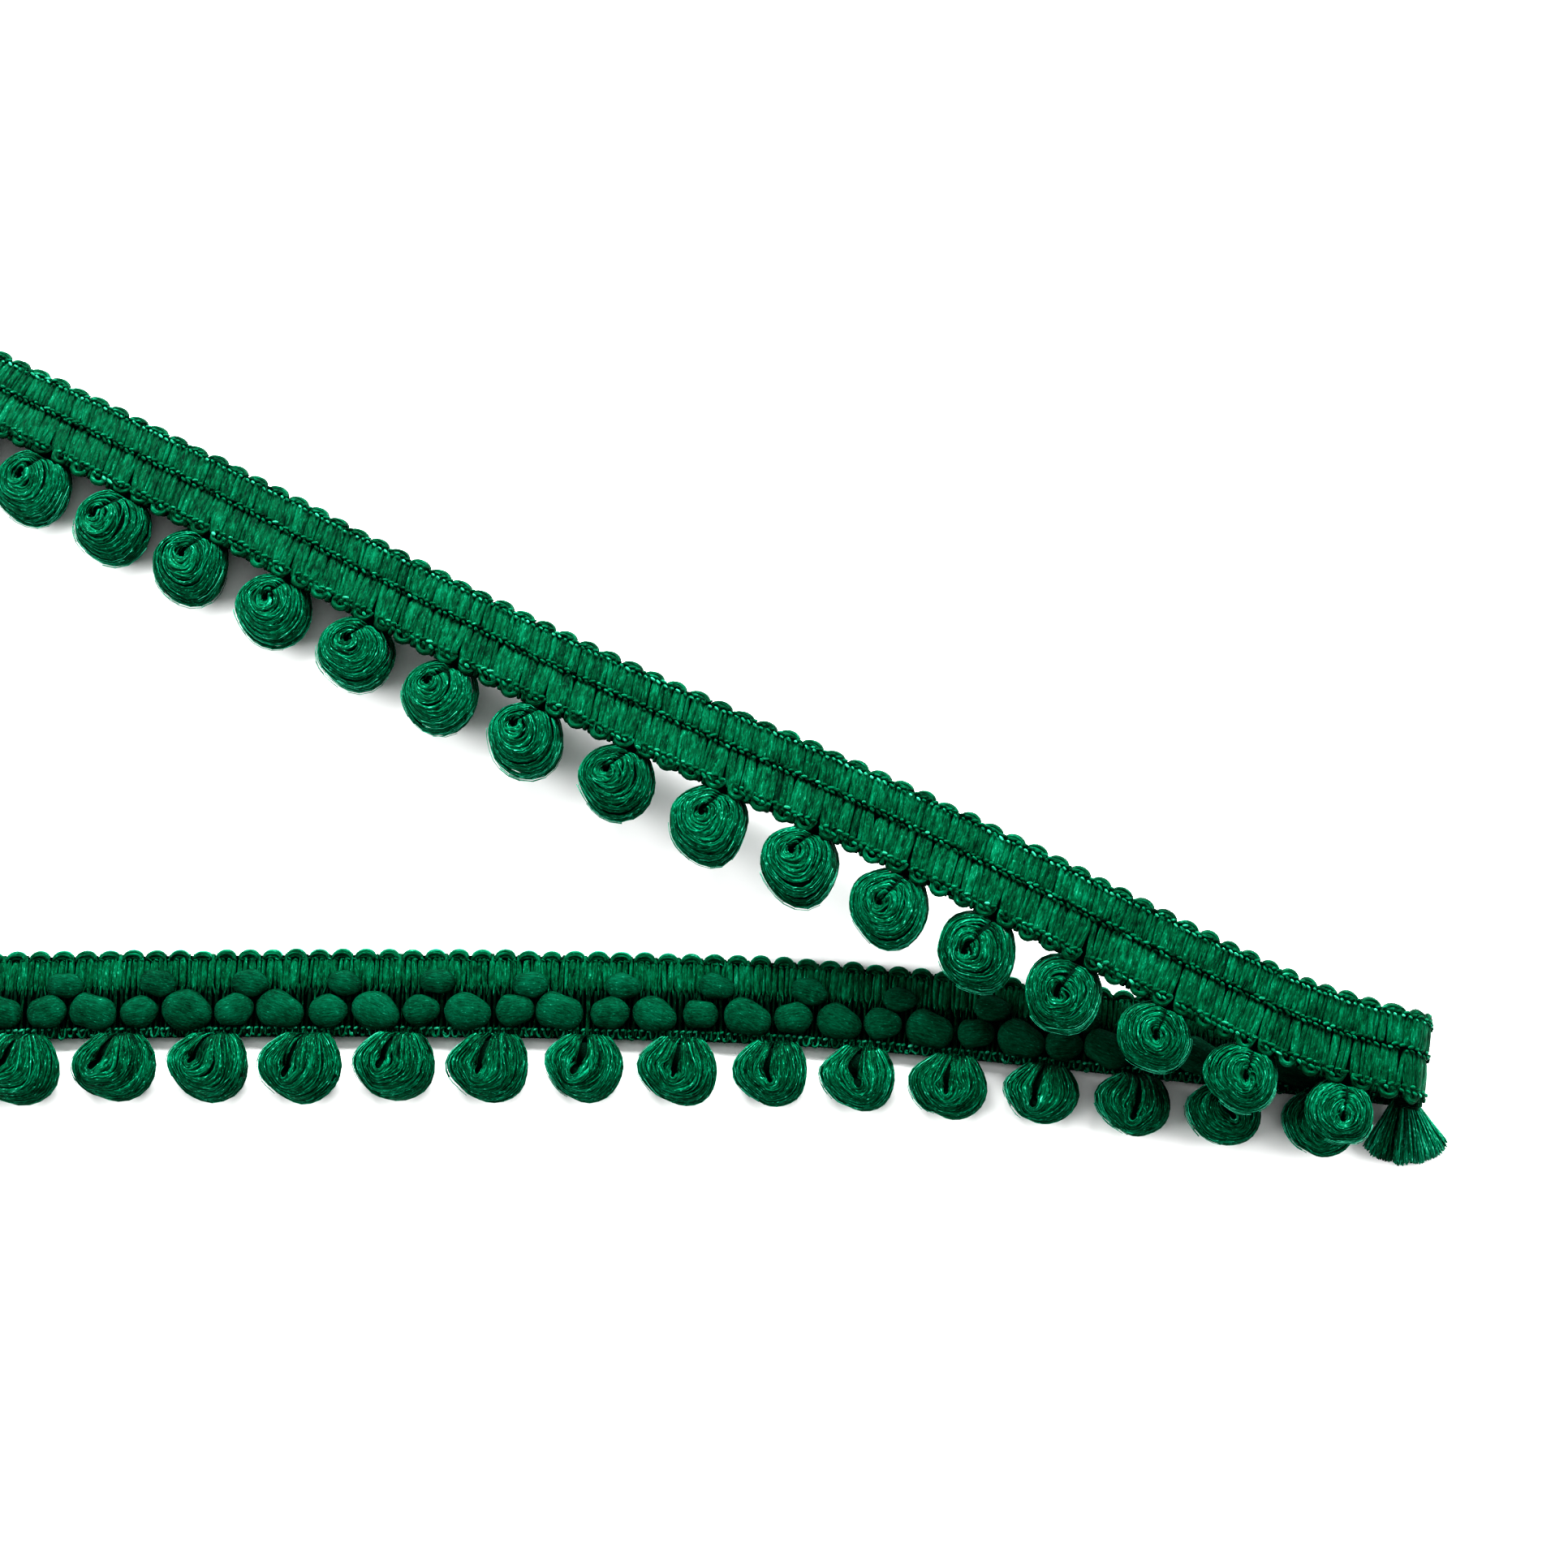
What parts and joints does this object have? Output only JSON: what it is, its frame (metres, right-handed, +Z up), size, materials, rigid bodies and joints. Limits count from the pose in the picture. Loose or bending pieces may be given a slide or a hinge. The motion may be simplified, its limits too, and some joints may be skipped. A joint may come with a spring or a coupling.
{
  "type": "looped tassel fringe trim",
  "caption": "Length of fringe trim folded over once: a scalloped chain stitched heading with looped yarn tassels along one edge.",
  "frame": {"origin": "on the table, at the middle of the footprint of the folded trim", "axes": "+Z up, +X along the lower arm towards the fold, +Y across the heading towards its scalloped edge"},
  "size_m": [0.265, 0.1494, 0.0153],
  "materials": {
    "heading_yarn": "woven and chain stitched rayon yarn, dyed emerald green",
    "tassel_yarn": "loose bundles of fine rayon yarn with a soft sheen, dyed emerald green"
  },
  "bodies": {
    "root": {"heading": "heading_yarn", "tassel_01": "tassel_yarn", "tassel_02": "tassel_yarn", "tassel_03": "tassel_yarn", "tassel_04": "tassel_yarn", "tassel_05": "tassel_yarn", "tassel_06": "tassel_yarn", "tassel_07": "tassel_yarn", "tassel_08": "tassel_yarn", "tassel_09": "tassel_yarn", "tassel_10": "tassel_yarn", "tassel_11": "tassel_yarn", "tassel_12": "tassel_yarn", "tassel_13": "tassel_yarn", "tassel_14": "tassel_yarn", "tassel_15": "tassel_yarn", "tassel_16": "tassel_yarn", "fold_tassel": "tassel_yarn", "tassel_18": "tassel_yarn", "tassel_19": "tassel_yarn", "tassel_20": "tassel_yarn", "tassel_21": "tassel_yarn", "tassel_22": "tassel_yarn", "tassel_23": "tassel_yarn", "tassel_24": "tassel_yarn", "tassel_25": "tassel_yarn", "tassel_26": "tassel_yarn", "tassel_27": "tassel_yarn", "tassel_28": "tassel_yarn", "tassel_29": "tassel_yarn", "tassel_30": "tassel_yarn", "tassel_31": "tassel_yarn", "tassel_32": "tassel_yarn", "tassel_33": "tassel_yarn", "tassel_34": "tassel_yarn"}
  },
  "joints": []
}
